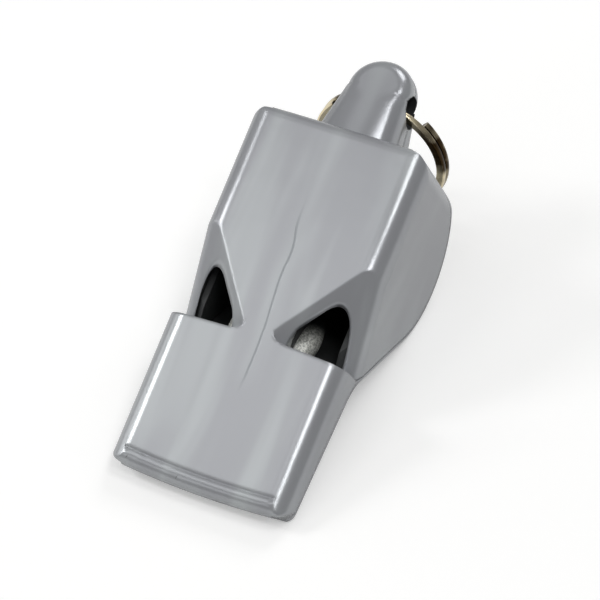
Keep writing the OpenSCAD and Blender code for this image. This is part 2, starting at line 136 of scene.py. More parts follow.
def add_object(name: str, data: bpy.types.ID) -> bpy.types.Object:
    """Adds an object to the scene, at the origin.

    Args:
        name: Name of the object.
        data: Its mesh, lamp or camera.

    Returns:
        The new object.
    """
    made = bpy.data.objects.new(name, data)
    bpy.context.scene.collection.objects.link(made)
    return made


@dataclass(frozen=True)
class OwnAxes:
    """The whistle's own axes: X across, Y from the mouth to the lug, Z out of the flat top.

    The whistle rests tilted on the table. Sizes are easier to give along its flat top, which is
    level in these axes.
    """

    tilt_deg: float = 27.14
    # Where the middle of the table's frame lies in these axes
    start_mm: tuple[float, float, float] = (0.0, 20.115, -14.805)

    def turn(self) -> Matrix:
        """Gives the turn from these axes to the table's."""
        return Matrix.Rotation(math.radians(self.tilt_deg), 3, "X")

    def place(self, at: Vector) -> Vector:
        """Gives a point of the table's frame in these axes, both in metres."""
        return self.turn().inverted() @ at + Vector(self.start_mm) * MM

    def coordinates(self, tree: bpy.types.NodeTree) -> bpy.types.NodeSocket:
        """Adds the coordinates in these axes to a material.

        Args:
            tree: Node tree of the material.

        Returns:
            Socket of the coordinates in metres.
        """
        place = add_node(tree, "ShaderNodeTexCoord")
        turned = add_node(
            tree,
            "ShaderNodeMapping",
            {
                "Vector": place.outputs["Object"],
                "Rotation": (-math.radians(self.tilt_deg), 0.0, 0.0),
                "Location": tuple(v * MM for v in self.start_mm),
            },
        )
        return turned.outputs["Vector"]


OWN = OwnAxes()


@dataclass(frozen=True)
class SilverAbs:
    """Silver-grey ABS, injection moulded with a metallic pigment and polished by its mould.

    The pigment gives a soft sheen, and long pale flow streaks run from the gate to the mouth. A
    fine knit line winds along the middle of the top face, where two flows met: sunk and darker,
    with a paler band on both sides. The mould leaves no edge sharp, so every edge shines.
    """

    name: str = "silver_abs_moulded"
    colour: str = "#aaacb0"
    streak_colour: str = "#b8bcbe"
    knit_colour: str = "#878c8f"
    roughness: float = 0.25
    metal: float = 0.5
    streak_w_mm: float = 3.6
    streak_l_mm: float = 30.0
    streak_d_mm: float = 10.8
    streak_range: tuple[float, float] = (0.4, 0.72)
    # A mould's polish is finer than this, which is as fine as a close render shows
    grain_mm: float = 0.09
    grain_depth_mm: float = 0.005
    grain_strength: float = 0.08
    sink_mm: float = 3.5
    sink_depth_mm: float = 0.05
    sink_strength: float = 0.5
    # Distance from the knit line at which each band starts and is full
    knit_mm: tuple[float, float] = (0.2, 0.04)
    knit_share: float = 0.75
    knit_depth_mm: float = 0.04
    knit_strength: float = 0.35
    pale_mm: tuple[float, float] = (1.9, 0.25)
    pale_share: float = 0.3
    # Course of the knit line: distance from the mouth, and distance to the right of the middle
    knit_path_mm: tuple[tuple[float, float], ...] = (
        (9.0, 0.6),
        (10.3, 0.68),
        (11.9, 0.76),
        (16.6, 0.71),
        (20.7, 0.35),
        (23.6, 0.14),
        (26.0, 0.23),
        (29.9, -0.43),
        (33.0, -0.5),
    )
    knit_swing_mm: float = 1.0
    knit_start_mm: float = 4.0
    knit_end_mm: float = 6.0
    top_face_mm: tuple[float, float] = (-0.4, -0.1)
    edge_mm: float = 0.5
    edge_samples: int = 8

    def knit_line(
        self, tree: bpy.types.NodeTree, own: bpy.types.NodeSocket
    ) -> tuple[bpy.types.NodeSocket, Any]:
        """Adds the distance to the knit line and how strong the line is along its length.

        Args:
            tree: Node tree of the material.
            own: Coordinates in the whistle's own axes.

        Returns:
            Socket of the distance in metres, and socket of the strength.
        """
        parts = add_node(tree, "ShaderNodeSeparateXYZ", {"Vector": own})
        first, last = self.knit_path_mm[0][0], self.knit_path_mm[-1][0]
        along = add_node(
            tree,
            "ShaderNodeMapRange",
            {"Value": parts.outputs["Y"], "From Min": first * MM, "From Max": last * MM},
        )
        curve = add_node(tree, "ShaderNodeFloatCurve", {"Value": along.outputs["Result"]})
        line = curve.mapping.curves[0]
        for index, (y_mm, x_mm) in enumerate(self.knit_path_mm):
            where = ((y_mm - first) / (last - first), 0.5 + x_mm / (2 * self.knit_swing_mm))
            if index < 2:
                line.points[index].location = where
            else:
                line.points.new(*where)
        curve.mapping.update()
        swing = self.knit_swing_mm * MM
        middle = add_node(
            tree,
            "ShaderNodeMath",
            {0: curve.outputs["Value"], 1: 2 * swing, 2: -swing},
            operation="MULTIPLY_ADD",
        )
        aside = add_node(
            tree,
            "ShaderNodeMath",
            {0: parts.outputs["X"], 1: middle.outputs["Value"]},
            operation="SUBTRACT",
        )
        away = add_node(
            tree, "ShaderNodeMath", {0: aside.outputs["Value"]}, operation="ABSOLUTE"
        )
        strength: Any = 1.0
        for axis, low, high in (
            ("Y", first, first + self.knit_start_mm),
            ("Y", last, last - self.knit_end_mm),
            ("Z", *self.top_face_mm),
        ):
            fade = add_node(
                tree,
                "ShaderNodeMapRange",
                {"Value": parts.outputs[axis], "From Min": low * MM, "From Max": high * MM},
                interpolation_type="SMOOTHSTEP",
            )
            strength = add_node(
                tree,
                "ShaderNodeMath",
                {0: fade.outputs["Result"], 1: strength},
                operation="MULTIPLY",
            ).outputs["Value"]
        return away.outputs["Value"], strength

    def knit_bands(
        self, tree: bpy.types.NodeTree, own: bpy.types.NodeSocket
    ) -> tuple[bpy.types.NodeSocket, bpy.types.NodeSocket]:
        """Adds the dark band along the knit line and the wider pale band around it.

        Args:
            tree: Node tree of the material.
            own: Coordinates in the whistle's own axes.

        Returns:
            Socket of the dark band and socket of the pale band, both from zero to one.
        """
        away, strength = self.knit_line(tree, own)
        bands = []
        for outer, inner in (self.knit_mm, self.pale_mm):
            near = add_node(
                tree,
                "ShaderNodeMapRange",
                {"Value": away, "From Min": outer * MM, "From Max": inner * MM},
                interpolation_type="SMOOTHSTEP",
            )
            band = add_node(
                tree,
                "ShaderNodeMath",
                {0: near.outputs["Result"], 1: strength},
                operation="MULTIPLY",
            )
            bands.append(band.outputs["Value"])
        return bands[0], bands[1]

    def body_colour(
        self,
        tree: bpy.types.NodeTree,
        own: bpy.types.NodeSocket,
        dark: bpy.types.NodeSocket,
        pale: bpy.types.NodeSocket,
    ) -> bpy.types.NodeSocket:
        """Adds the colour of the plastic with its flow streaks and its knit line.

        Args:
            tree: Node tree of the material.
            own: Coordinates in the whistle's own axes.
            dark: Dark band along the knit line.
            pale: Pale band around the knit line.

        Returns:
            Socket of the colour.
        """
        stretch = (self.streak_w_mm, self.streak_l_mm, self.streak_d_mm)
        flow = add_node(
            tree,
            "ShaderNodeMapping",
            {"Vector": own, "Scale": tuple(per_mm(size) for size in stretch)},
        )
        streak = add_node(
            tree,
            "ShaderNodeTexNoise",
            {
                "Vector": flow.outputs["Vector"],
                "Scale": 1.0,
                "Detail": 2.0,
                "Roughness": 0.4,
                "Distortion": 0.5,
            },
        )
        low, high = self.streak_range
        clear = add_node(
            tree,
            "ShaderNodeMapRange",
            {"Value": streak.outputs["Fac"], "From Min": low, "From Max": high},
            interpolation_type="SMOOTHSTEP",
        )
        share = add_node(
            tree,
            "ShaderNodeMath",
            {0: pale, 1: self.pale_share, 2: clear.outputs["Result"]},
            operation="MULTIPLY_ADD",
        )
        streaked = add_node(
            tree,
            "ShaderNodeMix",
            {
                "Factor": share.outputs["Value"],
                "A": linear(self.colour),
                "B": linear(self.streak_colour),
            },
            data_type="RGBA",
        )
        tint = add_node(
            tree, "ShaderNodeMath", {0: dark, 1: self.knit_share}, operation="MULTIPLY"
        )
        body = add_node(
            tree,
            "ShaderNodeMix",
            {
                "Factor": tint.outputs["Value"],
                "A": streaked.outputs["Result"],
                "B": linear(self.knit_colour),
            },
            data_type="RGBA",
        )
        return body.outputs["Result"]

    def surface(
        self, tree: bpy.types.NodeTree, dark: bpy.types.NodeSocket
    ) -> bpy.types.NodeSocket:
        """Adds the soft edges, fine grain, sink marks and sunk knit line of the surface.

        Args:
            tree: Node tree of the material.
            dark: Dark band along the knit line.

        Returns:
            Socket of the normal.
        """
        place = add_node(tree, "ShaderNodeTexCoord")
        edge = add_node(
            tree, "ShaderNodeBevel", {"Radius": self.edge_mm * MM}, samples=self.edge_samples
        )
        grain = add_node(
            tree,
            "ShaderNodeTexNoise",
            {
                "Vector": place.outputs["Object"],
                "Scale": per_mm(self.grain_mm),
                "Detail": 2.0,
                "Roughness": 0.6,
            },
        )
        sink = add_node(
            tree,
            "ShaderNodeTexNoise",
            {"Vector": place.outputs["Object"], "Scale": per_mm(self.sink_mm), "Detail": 1.0},
        )
        normal = edge.outputs["Normal"]
        for height, strength, depth_mm, sunk in (
            (grain.outputs["Fac"], self.grain_strength, self.grain_depth_mm, False),
            (sink.outputs["Fac"], self.sink_strength, self.sink_depth_mm, False),
            (dark, self.knit_strength, self.knit_depth_mm, True),
        ):
            bump = add_node(
                tree,
                "ShaderNodeBump",
                {
                    "Height": height,
                    "Strength": strength,
                    "Distance": depth_mm * MM,
                    "Normal": normal,
                },
                invert=sunk,
            )
            normal = bump.outputs["Normal"]
        return normal

    def build(self) -> bpy.types.Material:
        """Builds the material.

        Returns:
            The finished material.
        """
        material, tree = new_material(self.name)
        own = OWN.coordinates(tree)
        dark, pale = self.knit_bands(tree, own)
        shader = add_node(
            tree,
            "ShaderNodeBsdfPrincipled",
            {
                "Base Color": self.body_colour(tree, own, dark, pale),
                "Metallic": self.metal,
                "Roughness": self.roughness,
                "IOR": ABS_IOR,
                "Normal": self.surface(tree, dark),
            },
        )
        add_node(tree, "ShaderNodeOutputMaterial", {"Surface": shader.outputs["BSDF"]})
        return material


@dataclass(frozen=True)
class InnerAbs:
    """The same ABS on the faces inside the chambers, painted nearly black and matt as painted
    shade.

    These faces throw hardly any light about, so the windows look deep and nearly black.
    """

    name: str = "grey_abs_painted_shade_inside"
    # Both colours are painted shade, far darker than the silver ABS outside; the mottle between
    # them varies at random
    colour: str = "#1f2122"
    shaded_dust_colour: str = "#3a3c3c"
    roughness: float = 0.6
    dust_mm: float = 0.7
    dust_depth_mm: float = 0.03
    dust_strength: float = 0.4

    def build(self) -> bpy.types.Material:
        """Builds the material.

        Returns:
            The finished material.
        """
        material, tree = new_material(self.name)
        place = add_node(tree, "ShaderNodeTexCoord")
        dust = add_node(
            tree,
            "ShaderNodeTexNoise",
            {
                "Vector": place.outputs["Object"],
                "Scale": per_mm(self.dust_mm),
                "Detail": 4.0,
                "Roughness": 0.65,
            },
        )
        body = add_node(
            tree,
            "ShaderNodeMix",
            {
                "Factor": dust.outputs["Fac"],
                "A": linear(self.colour),
                "B": linear(self.shaded_dust_colour),
            },
            data_type="RGBA",
        )
        bump = add_node(
            tree,
            "ShaderNodeBump",
            {
                "Height": dust.outputs["Fac"],
                "Strength": self.dust_strength,
                "Distance": self.dust_depth_mm * MM,
            },
        )
        shader = add_node(
            tree,
            "ShaderNodeBsdfPrincipled",
            {
                "Base Color": body.outputs["Result"],
                "Roughness": self.roughness,
                "IOR": ABS_IOR,
                "Normal": bump.outputs["Normal"],
            },
        )
        add_node(tree, "ShaderNodeOutputMaterial", {"Surface": shader.outputs["BSDF"]})
        return material


@dataclass(frozen=True)
class CoreAbs:
    """Grey ABS of the core's ramps, injection moulded in a spark-eroded mould.

    The eroded mould leaves a coarse grain. Towards the mouth's end, where light falls in, the
    grain sparkles and is painted pale as painted light, and further back it is painted dark as
    painted shade.
    """

    name: str = "grey_abs_textured"
    colour: str = "#b3b5af"
    # Near-white grain colour as painted light, and a dark colour as painted shade deeper in the
    # chamber
    painted_lit_colour: str = "#fbfcf6"
    painted_shade_colour: str = "#26292a"
    # Distance from the mouth at which the painted shade is full, and at which the painted light is
    # full
    shade_full_at_mm: float = 20.6
    light_full_at_mm: float = 18.6
    roughness: float = 0.36
    metal: float = 0.45
    grain_mm: float = 0.26
    grain_range: tuple[float, float] = (0.38, 0.62)
    grain_depth_mm: float = 0.1
    grain_strength: float = 0.9

    def build(self) -> bpy.types.Material:
        """Builds the material.

        Returns:
            The finished material.
        """
        material, tree = new_material(self.name)
        place = add_node(tree, "ShaderNodeTexCoord")
        grain = add_node(
            tree,
            "ShaderNodeTexNoise",
            {
                "Vector": place.outputs["Object"],
                "Scale": per_mm(self.grain_mm),
                "Detail": 3.0,
                "Roughness": 0.7,
            },
        )
        low, high = self.grain_range
        lit_grain = add_node(
            tree,
            "ShaderNodeMapRange",
            {"Value": grain.outputs["Fac"], "From Min": low, "From Max": high},
            interpolation_type="SMOOTHSTEP",
        )
        body = add_node(
            tree,
            "ShaderNodeMix",
            {
                "Factor": lit_grain.outputs["Result"],
                "A": linear(self.colour),
                "B": linear(self.painted_lit_colour),
            },
            data_type="RGBA",
        )
        parts = add_node(tree, "ShaderNodeSeparateXYZ", {"Vector": OWN.coordinates(tree)})
        # Painted shade further back, fading into the grain's painted light towards the mouth
        forward = add_node(
            tree,
            "ShaderNodeMapRange",
            {
                "Value": parts.outputs["Y"],
                "From Min": self.shade_full_at_mm * MM,
                "From Max": self.light_full_at_mm * MM,
            },
            interpolation_type="SMOOTHSTEP",
        )
        finish = add_node(
            tree,
            "ShaderNodeMix",
            {
                "Factor": forward.outputs["Result"],
                "A": linear(self.painted_shade_colour),
                "B": body.outputs["Result"],
            },
            data_type="RGBA",
        )
        bump = add_node(
            tree,
            "ShaderNodeBump",
            {
                "Height": grain.outputs["Fac"],
                "Strength": self.grain_strength,
                "Distance": self.grain_depth_mm * MM,
            },
        )
        shader = add_node(
            tree,
            "ShaderNodeBsdfPrincipled",
            {
                "Base Color": finish.outputs["Result"],
                "Metallic": self.metal,
                "Roughness": self.roughness,
                "IOR": ABS_IOR,
                "Normal": bump.outputs["Normal"],
            },
        )
        add_node(tree, "ShaderNodeOutputMaterial", {"Surface": shader.outputs["BSDF"]})
        return material


@dataclass(frozen=True)
class NickelSteel:
    """Spring steel wire, rolled flat and nickel plated, with a warm tint.

    The plating's colour is painted in cream and dark brown patches: partly tarnish and partly
    painted reflection of bright and dark surroundings. Fine marks of the rolling break its
    reflections.
    """

    name: str = "nickel_plated_spring_steel"
    # Cream and dark brown patches, partly tarnish and partly painted reflection
    colour: str = "#f6e8c6"
    tarnish_and_painted_dark: str = "#3a2c1a"
    bright_roughness: float = 0.1
    tarnished_roughness: float = 0.3
    patch_mm: float = 4.6
    patch_range: tuple[float, float] = (0.44, 0.6)
    mark_mm: float = 0.12
    mark_depth_mm: float = 0.012
    mark_strength: float = 0.3

    def build(self) -> bpy.types.Material:
        """Builds the material.

        Returns:
            The finished material.
        """
        material, tree = new_material(self.name)
        place = add_node(tree, "ShaderNodeTexCoord")
        patch = add_node(
            tree,
            "ShaderNodeTexNoise",
            {
                "Vector": place.outputs["Object"],
                "Scale": per_mm(self.patch_mm),
                "Detail": 2.0,
                "Roughness": 0.5,
            },
        )
        low, high = self.patch_range
        part = add_node(
            tree,
            "ShaderNodeMapRange",
            {"Value": patch.outputs["Fac"], "From Min": low, "From Max": high},
        )
        # Patches of tarnish and painted reflection
        body = add_node(
            tree,
            "ShaderNodeMix",
            {
                "Factor": part.outputs["Result"],
                "A": linear(self.colour),
                "B": linear(self.tarnish_and_painted_dark),
            },
            data_type="RGBA",
        )
        gloss = add_node(
            tree,
            "ShaderNodeMapRange",
            {
                "Value": patch.outputs["Fac"],
                "To Min": self.bright_roughness,
                "To Max": self.tarnished_roughness,
            },
        )
        marks = add_node(
            tree,
            "ShaderNodeTexNoise",
            {"Vector": place.outputs["Object"], "Scale": per_mm(self.mark_mm), "Detail": 2.0},
        )
        bump = add_node(
            tree,
            "ShaderNodeBump",
            {
                "Height": marks.outputs["Fac"],
                "Strength": self.mark_strength,
                "Distance": self.mark_depth_mm * MM,
            },
        )
        shader = add_node(
            tree,
            "ShaderNodeBsdfPrincipled",
            {
                "Base Color": body.outputs["Result"],
                "Metallic": 1.0,
                "Roughness": gloss.outputs["Result"],
                "Normal": bump.outputs["Normal"],
            },
        )
        add_node(tree, "ShaderNodeOutputMaterial", {"Surface": shader.outputs["BSDF"]})
        return material


def background_share(tree: bpy.types.NodeTree, mirrored_share: float) -> bpy.types.NodeSocket:
    """Adds how much of the white background a ray sees, which throws no light on the object.

    Args:
        tree: Node tree of the floor or the world.
        mirrored_share: What a reflection or a look through glass sees of it.

    Returns:
        Socket that is one for the camera, the given share for a mirrored ray, and zero otherwise.
    """
    path = add_node(tree, "ShaderNodeLightPath")
    mirrored = add_node(
        tree,
        "ShaderNodeMath",
        {0: path.outputs["Is Glossy Ray"], 1: path.outputs["Is Transmission Ray"]},
        operation="MAXIMUM",
    )
    weak = add_node(
        tree,
        "ShaderNodeMath",
        {0: mirrored.outputs["Value"], 1: mirrored_share},
        operation="MULTIPLY",
    )
    seen = add_node(
        tree,
        "ShaderNodeMath",
        {0: path.outputs["Is Camera Ray"], 1: weak.outputs["Value"]},
        operation="MAXIMUM",
    )
    return seen.outputs["Value"]


@dataclass(frozen=True)
class TablePaper:
    """White studio paper, matt, which glows a little to the camera so that it shows pure white.

    The glow rises with the distance, where the lamps reach less, and the soft shadow stays.
    """

    name: str = "white_studio_paper"
    colour: str = "#e8e8e7"
    roughness: float = 0.9
    glow_colour: str = "#ffffff"
    glow: float = 0.34
    far_glow: float = 0.32
    near_m: float = 0.12
    far_m: float = 0.5
    mirrored_share: float = 0.25

    def build(self) -> bpy.types.Material:
        """Builds the material.

        Returns:
            The finished material.
        """
        material, tree = new_material(self.name)
        paper = add_node(
            tree,
            "ShaderNodeBsdfPrincipled",
            {"Base Color": linear(self.colour), "Roughness": self.roughness},
        )
        place = add_node(tree, "ShaderNodeTexCoord")
        away = add_node(
            tree, "ShaderNodeVectorMath", {0: place.outputs["Object"]}, operation="LENGTH"
        )
        far = add_node(
            tree,
            "ShaderNodeMapRange",
            {"Value": away.outputs["Value"], "From Min": self.near_m, "From Max": self.far_m},
            interpolation_type="SMOOTHSTEP",
        )
        level = add_node(
            tree,
            "ShaderNodeMath",
            {0: far.outputs["Result"], 1: self.far_glow, 2: self.glow},
            operation="MULTIPLY_ADD",
        )
        strength = add_node(
            tree,
            "ShaderNodeMath",
            {0: background_share(tree, self.mirrored_share), 1: level.outputs["Value"]},
            operation="MULTIPLY",
        )
        glow = add_node(
            tree,
            "ShaderNodeEmission",
            {"Color": linear(self.glow_colour), "Strength": strength.outputs["Value"]},
        )
        both = add_node(
            tree, "ShaderNodeAddShader", {0: paper.outputs["BSDF"], 1: glow.outputs[0]}
        )
        add_node(tree, "ShaderNodeOutputMaterial", {"Surface": both.outputs[0]})
        return material


def settle(piece: bpy.types.Object, body: Body) -> bpy.types.Object:
    """Lets a finished piece ride on its body.

    Args:
        piece: Finished piece.
        body: Body that carries it.

    Returns:
        The same piece.
    """
    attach(piece, body.value)
    return piece


def plain_copy(piece: bpy.types.Object, name: str) -> bpy.types.Object:
    """Turns a piece with live modifiers into a plain mesh and removes the old one.

    Args:
        piece: Object with its modifiers.
        name: Name of the plain piece.

    Returns:
        The plain piece, linked to the scene.
    """
    graph = bpy.context.evaluated_depsgraph_get()
    mesh = bpy.data.meshes.new_from_object(piece.evaluated_get(graph), depsgraph=graph)
    bpy.data.objects.remove(piece)
    mesh.name = name
    return add_object(name, mesh)


@dataclass
class EvenShading:
    """Shades the large flat regions of a moulded piece dead flat."""

    least_mm2: float = 1.5
    level_deg: float = 0.05

    def neighbours(self, mesh: bpy.types.Mesh) -> dict[int, list[int]]:
        """Finds for each face the faces beside it that lie level with it.

        Args:
            mesh: Mesh of a moulded piece.

        Returns:
            For each face's index, the indices of its level neighbours.
        """
        level = math.cos(math.radians(self.level_deg))
        sides: dict[tuple[int, int], list[int]] = {}
        for face in mesh.polygons:
            for key in face.edge_keys:
                sides.setdefault(key, []).append(face.index)
        near: dict[int, list[int]] = {face.index: [] for face in mesh.polygons}
        for pair in sides.values():
            if len(pair) != 2:
                continue
            first, second = (mesh.polygons[i] for i in pair)
            if first.normal.dot(second.normal) > level:
                near[first.index].append(second.index)
                near[second.index].append(first.index)
        return near

    def regions(self, mesh: bpy.types.Mesh) -> list[list[int]]:
        """Finds the large flat regions of a mesh.

        Args:
            mesh: Mesh of a moulded piece.

        Returns:
            For each region, the indices of its faces.
        """
        near = self.neighbours(mesh)
        seen: set[int] = set()
        found = []
        for start in near:
            if start in seen:
                continue
            seen.add(start)
            region = [start]
            for index in region:
                for other in near[index]:
                    if other not in seen:
                        seen.add(other)
                        region.append(other)
            if sum(mesh.polygons[i].area for i in region) > self.least_mm2 * MM * MM:
                found.append(region)
        return found

    def shade(self, mesh: bpy.types.Mesh) -> None:
        """Gives each large flat region one normal, so that no reflection bends at its rim.

        Args:
            mesh: Mesh of a moulded piece.
        """
        normals = [Vector(corner.vector) for corner in mesh.corner_normals]
        for region in self.regions(mesh):
            faces = [mesh.polygons[i] for i in region]
            middle = sum((face.normal * face.area for face in faces), Vector())
            middle.normalize()
            for face in faces:
                for corner in face.loop_indices:
                    normals[corner] = middle
        mesh.normals_split_custom_set(normals)


@dataclass
class LugCrown:
    """Gentle crown of the lug's top, which lets light roll off to both sides of its middle."""

    start_mm: float = 41.65
    end_mm: float = 50.0
    reach_mm: float = 4.2
    lowest_mm: float = -8.4
    least_up: float = 0.05
    grid_mm: float = 0.4
    crown_deg: float = 31.0
    crown_at_mm: float = 4.0
    # Where the crown starts to fade and where it has gone, at the round nose
    nose_mm: tuple[float, float] = (46.8, 49.4)

    def covers(self, at: Vector, out: Vector) -> bool:
        """Says if a place with its normal, both in the own axes, is on the lug's top."""
        low_y, low_z = self.start_mm * MM, self.lowest_mm * MM
        return at.y > low_y and at.z > low_z and out.z > self.least_up

    def divide(self, form: bmesh.types.BMesh) -> None:
        """Divides the lug's upper faces into an even grid, so that the crown's shade runs smooth.

        Args:
            form: Merged mesh of the upper shell.
        """
        turn = OWN.turn()
        back = turn.inverted()
        spans = ((0, -self.reach_mm, self.reach_mm), (1, self.start_mm, self.end_mm))
        for axis, low, high in spans:
            count = round((high - low) / self.grid_mm)
            for step in range(1, count):
                at, out = Vector(), Vector()
                at[axis] = low + (high - low) * step / count
                out[axis] = 1.0
                faces = [
                    face
                    for face in form.faces
                    if self.covers(OWN.place(face.calc_center_median()), back @ face.normal)
                ]
                edges = dict.fromkeys(edge for face in faces for edge in face.edges)
                verts = dict.fromkeys(vert for face in faces for vert in face.verts)
                bmesh.ops.bisect_plane(
                    form,
                    geom=[*faces, *edges, *verts],
                    plane_co=turn @ (at - Vector(OWN.start_mm)) * MM,
                    plane_no=turn @ out,
                )

    def lean(self, at: Vector, out: Vector) -> float:
        """Gives how far the crown leans a normal sideways.

        Args:
            at: Place in the own axes.
            out: Normal in the own axes.

        Returns:
            Angle in radians, positive to the right.
        """
        start, end = self.nose_mm
        nose = max(0.0, min(1.0, (at.y / MM - start) / (end - start)))
        crown = math.radians(self.crown_deg) * at.x / (self.crown_at_mm * MM)
        rounding = 1 - abs(math.atan2(out.x, out.z)) / (math.pi / 2)
        return crown * rounding * (1 - nose * nose * (3 - 2 * nose))

    def shade(self, mesh: bpy.types.Mesh) -> None:
        """Turns the normals of the lug's top sideways, more towards its edges.

        Args:
            mesh: Mesh of the finished upper shell.
        """
        turn = OWN.turn()
        back = turn.inverted()
        normals = [Vector(corner.vector) for corner in mesh.corner_normals]
        places = [OWN.place(vert.co) for vert in mesh.vertices]
        for index, corner in enumerate(mesh.loops):
            at, out = places[corner.vertex_index], back @ normals[index]
            if self.covers(at, out):
                leant = Matrix.Rotation(self.lean(at, out), 3, "Y") @ out
                normals[index] = turn @ leant
        mesh.normals_split_custom_set(normals)


@dataclass
class RearWall:
    """Gently bowed rear wall, shaded as one even curve from side to side."""

    wall_mm: float = 41.6
    bow_mm: float = 0.3
    half_w_mm: float = 11.05
    reach_mm: float = 0.06
    least_back: float = 0.9

    def shade(self, mesh: bpy.types.Mesh) -> None:
        """Sets the normals of the wall's faces to those of its bow.

        Args:
            mesh: Mesh of a finished shell.
        """
        turn = OWN.turn()
        back = turn.inverted()
        bow_r = (self.half_w_mm**2 + self.bow_mm**2) / 2 / self.bow_mm
        normals = [Vector(corner.vector) for corner in mesh.corner_normals]
        for face in mesh.polygons:
            spots = [OWN.place(mesh.vertices[i].co) / MM for i in face.vertices]
            off = [abs(math.hypot(at.x, at.y - self.wall_mm + bow_r) - bow_r) for at in spots]
            if max(off) > self.reach_mm or (back @ face.normal).y < self.least_back:
                continue
            for corner, at in zip(face.loop_indices, spots):
                lean = math.asin(at.x / bow_r)
                normals[corner] = turn @ Vector((math.sin(lean), math.cos(lean), 0.0))
        mesh.normals_split_custom_set(normals)


@dataclass
class WindwayRamps:
    """Rounded ramps beside the dividers, where each side windway opens into its chamber."""

    root_x_mm: float = 3.3
    middle_y_mm: float = -5.2
    middle_z_mm: float = 7.2
    reach_mm: float = 2.0
    half_l_mm: float = 4.1
    half_h_mm: float = 1.45
    slimming: float = 0.35
    rings: int = 24
    slack_mm: float = 0.0001
    crease_deg: float = 50.0
    name: str = "windway_ramps"

    def add_rib(self, form: bmesh.types.BMesh, side: int) -> None:
        """Adds one long rounded rib, slimmer towards the rear.

        Args:
            form: Mesh that receives the rib.
            side: One for the right side of the whistle, minus one for the left.
        """
        made = bmesh.ops.create_uvsphere(
            form, u_segments=2 * self.rings, v_segments=self.rings, radius=1.0
        )
        for vert in made["verts"]:
            across, along, up = vert.co
            slim = 1 - self.slimming * along
            at_mm = (
                side * (self.root_x_mm + self.reach_mm * across * slim),
                self.middle_y_mm + self.half_l_mm * along,
                self.middle_z_mm + self.half_h_mm * up * slim,
            )
            vert.co = Vector(at_mm) * MM

    def build(self, material: bpy.types.Material) -> bpy.types.Object:
        """Builds both ramps as one piece of the core, each cut off flat at its divider.

        Args:
            material: Finish of the ramps.

        Returns:
            The finished piece.
        """
        form = bmesh.new()
        for side in (1, -1):
            self.add_rib(form, side)
        root = self.root_x_mm * MM
        for side in (1, -1):
            bmesh.ops.bisect_plane(
                form,
                geom=[*form.verts, *form.edges, *form.faces],
                plane_co=(side * root, 0, 0),
                plane_no=(-side, 0, 0),
            )
        inner = [vert for vert in form.verts if abs(vert.co.x) < root - self.slack_mm * MM]
        bmesh.ops.delete(form, geom=inner, context="VERTS")
        bmesh.ops.holes_fill(form, edges=[edge for edge in form.edges if edge.is_boundary])
        bmesh.ops.recalc_face_normals(form, faces=form.faces)
        mesh = bpy.data.meshes.new(self.name)
        form.to_mesh(mesh)
        form.free()
        mesh.materials.append(material)
        mesh.shade_smooth()
        mesh.set_sharp_from_angle(angle=math.radians(self.crease_deg))
        return settle(add_object(self.name, mesh), Body.WHISTLE)


@dataclass
class Moulding:
    """A moulded piece made from its CAD node, with flats shaded flat and roundings smooth."""

    name: str
    node: str
    slot: Slot
    merge_mm: float = 0.001
    crease_deg: float = 28.0
    inner_half_w_mm: float = 9.3
    least_inward: float = 0.2
    bore_at_mm: tuple[float, float] = (47.6, -8.4)
    bore_r_mm: float = 1.95
    crown: Optional[LugCrown] = None
    rear: Optional[RearWall] = None

    def line_inside(self, mesh: bpy.types.Mesh, inside: bpy.types.Material) -> None:
        """Paints the faces that look into the chambers and the lug's hole nearly black, as painted
        shade.

        Args:
            mesh: Mesh of the finished piece.
            inside: Painted shade finish of the inner faces.
        """
        mesh.materials.append(inside)
        low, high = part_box("chamber_insert")
        middle = (low + high) / 2
        bore = Vector(self.bore_at_mm) * MM
        for face in mesh.polygons:
            at, out = face.center, face.normal
            if (OWN.place(at).yz - bore).length < self.bore_r_mm * MM:
                face.material_index = 1
            if abs(at.x) > self.inner_half_w_mm * MM or at.y > high.y:
                continue
            to_middle = out.y * (middle.y - at.y) + out.z * (middle.z - at.z)
            if self.node == "lower_shell" and to_middle > 0:
                face.material_index = 1
            elif out.x * at.x < -self.least_inward * abs(at.x):
                face.material_index = 1

    def merged_mesh(self, material: bpy.types.Material) -> bpy.types.Mesh:
        """Copies the node's mesh and merges its loose triangles.

        Args:
            material: Finish of the piece.

        Returns:
            The merged mesh, smooth but for its creases.
        """
        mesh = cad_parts[self.node].data.copy()
        mesh.name = self.name
        form = bmesh.new()
        form.from_mesh(mesh)
        bmesh.ops.remove_doubles(form, verts=form.verts, dist=self.merge_mm * MM)
        if self.crown is not None:
            self.crown.divide(form)
        form.to_mesh(mesh)
        form.free()
        mesh.materials.clear()
        mesh.materials.append(material)
        mesh.shade_smooth()
        mesh.set_sharp_from_angle(angle=math.radians(self.crease_deg))
        return mesh

    def build(
        self, material: bpy.types.Material, inside: Optional[bpy.types.Material] = None
    ) -> bpy.types.Object:
        """Builds the piece and lets it stand for its node.

        Args:
            material: Finish of the piece.
            inside: Painted shade finish of the faces inside the chambers, where it differs.

        Returns:
            The finished piece.
        """
        raw = add_object(self.name + "_raw", self.merged_mesh(material))
        weigh = raw.modifiers.new("weigh", "WEIGHTED_NORMAL")
        weigh.keep_sharp = True
        piece = plain_copy(raw, self.name)
        EvenShading().shade(piece.data)
        if inside is not None:
            self.line_inside(piece.data, inside)
        for part in (self.crown, self.rear):
            if part is not None:
                part.shade(piece.data)
        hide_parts(self.node)
        return settle(piece, Body.WHISTLE)


